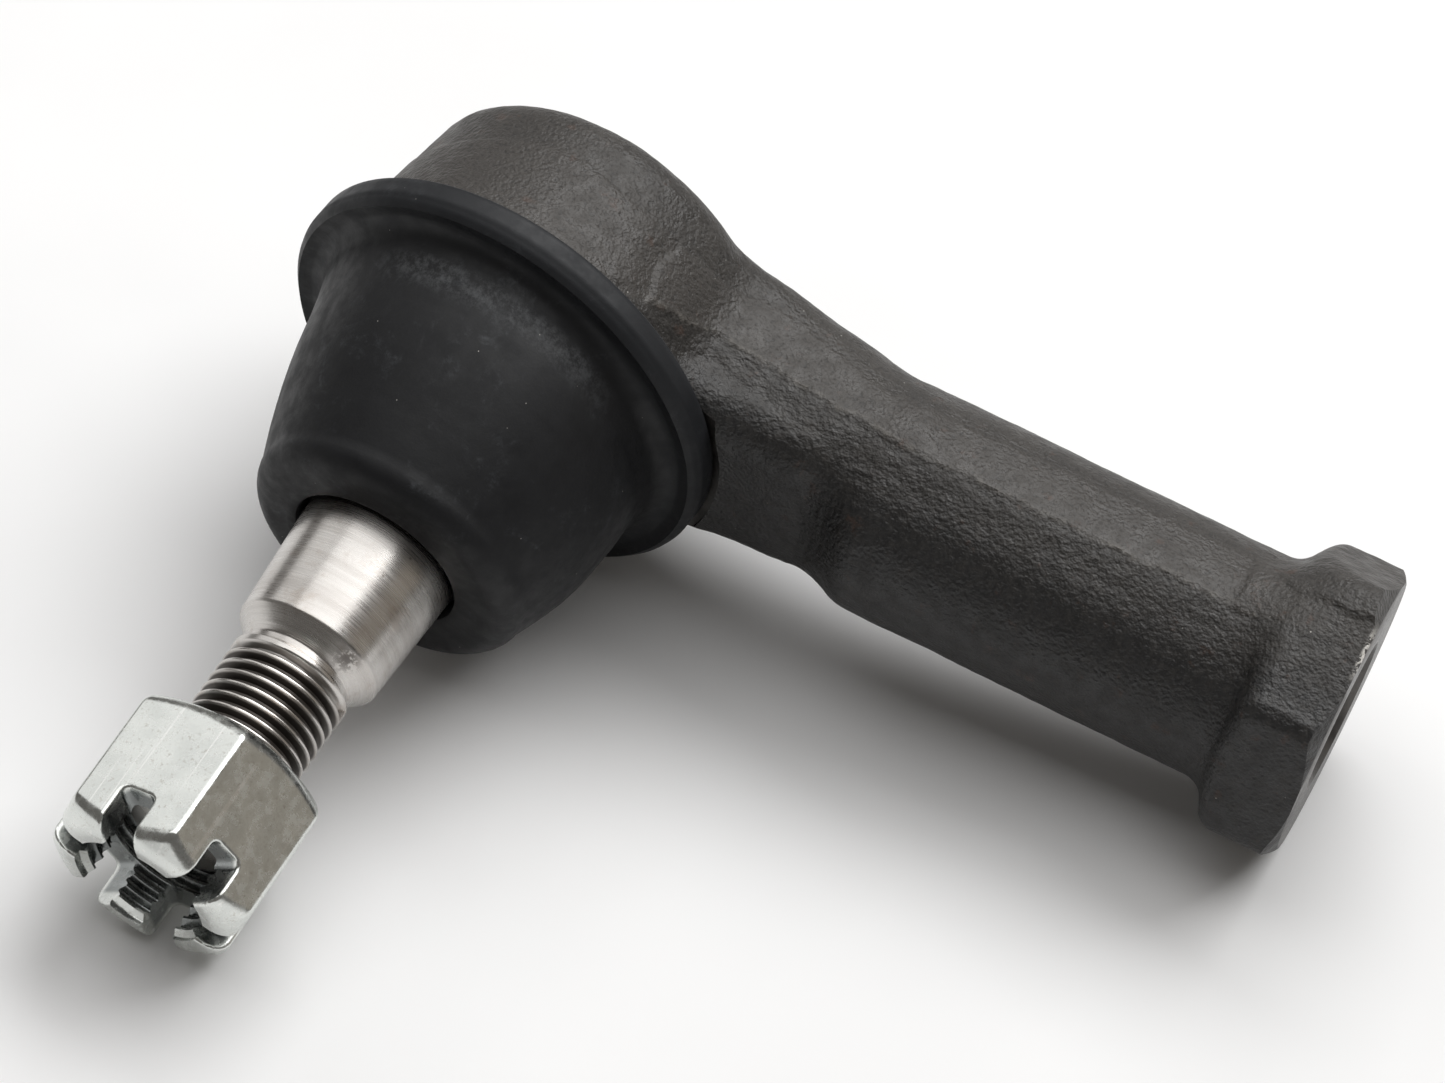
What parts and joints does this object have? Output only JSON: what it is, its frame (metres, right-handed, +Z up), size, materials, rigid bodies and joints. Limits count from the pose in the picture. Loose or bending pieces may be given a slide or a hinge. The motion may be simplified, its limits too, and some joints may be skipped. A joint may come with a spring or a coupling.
{
  "type": "tie rod end",
  "caption": "Outer tie rod end: forged socket with a tapered, threaded ball stud, rubber dust boot, castle nut and a hex-ended arm with a female thread.",
  "frame": {"origin": "centre of the bounding box on the surface the part lies on", "axes": "+Z up; +X along the arm towards its threaded end, which dips 5.7 degrees to the surface; the stud points to -Y"},
  "size_m": [0.1072, 0.0846, 0.0448],
  "materials": {
    "forged_steel": "as-forged steel, shot blasted and dark phosphated, fine pebbled skin with small bright nicks",
    "cover_steel": "pressed steel plate, dark phosphated",
    "spring_steel": "oiled spring steel",
    "acetal": "natural white bearing polymer",
    "turned_steel": "bright turned and rolled steel with fine circumferential marks",
    "boot_rubber": "matte black moulded rubber with a faint grey bloom",
    "zinc_plate": "bright zinc plate with fine longitudinal scratches"
  },
  "bodies": {
    "housing": {"housing": "forged_steel", "cover_plate": "cover_steel", "preload_spring": "spring_steel", "dust_boot": "boot_rubber", "boot_base_ring": "spring_steel"},
    "bearing": {"rear_ball_seat": "acetal", "front_ball_seat": "acetal"},
    "boot_lip": {"boot_lip_ring": "spring_steel"},
    "stud": {"ball_stud": "turned_steel"},
    "nut": {"castle_nut": "zinc_plate"}
  },
  "joints": [
    {"name": "bearing_turn", "type": "hinge", "parent": "housing", "child": "bearing", "pos_m": [-0.03048, 0.0272, 0.02313], "axis": [-0.1083, -0.9871, -0.1182], "continuous": true, "deforming": ["dust_boot"]},
    {"name": "stud_tilt", "type": "hinge", "parent": "bearing", "child": "boot_lip", "pos_m": [-0.03048, 0.0272, 0.02313], "axis": [0.8471, -0.1539, 0.5088], "range_deg": [-29, 19], "deforming": ["dust_boot"]},
    {"name": "stud_spin", "type": "hinge", "parent": "boot_lip", "child": "stud", "pos_m": [-0.03048, 0.0272, 0.02313], "axis": [-0.0623, -0.9793, -0.1924], "continuous": true},
    {"name": "nut_turn", "type": "hinge", "parent": "stud", "child": "nut", "pos_m": [-0.03386, -0.02588, 0.0127], "axis": [-0.0623, -0.9793, -0.1924], "continuous": true}
  ]
}
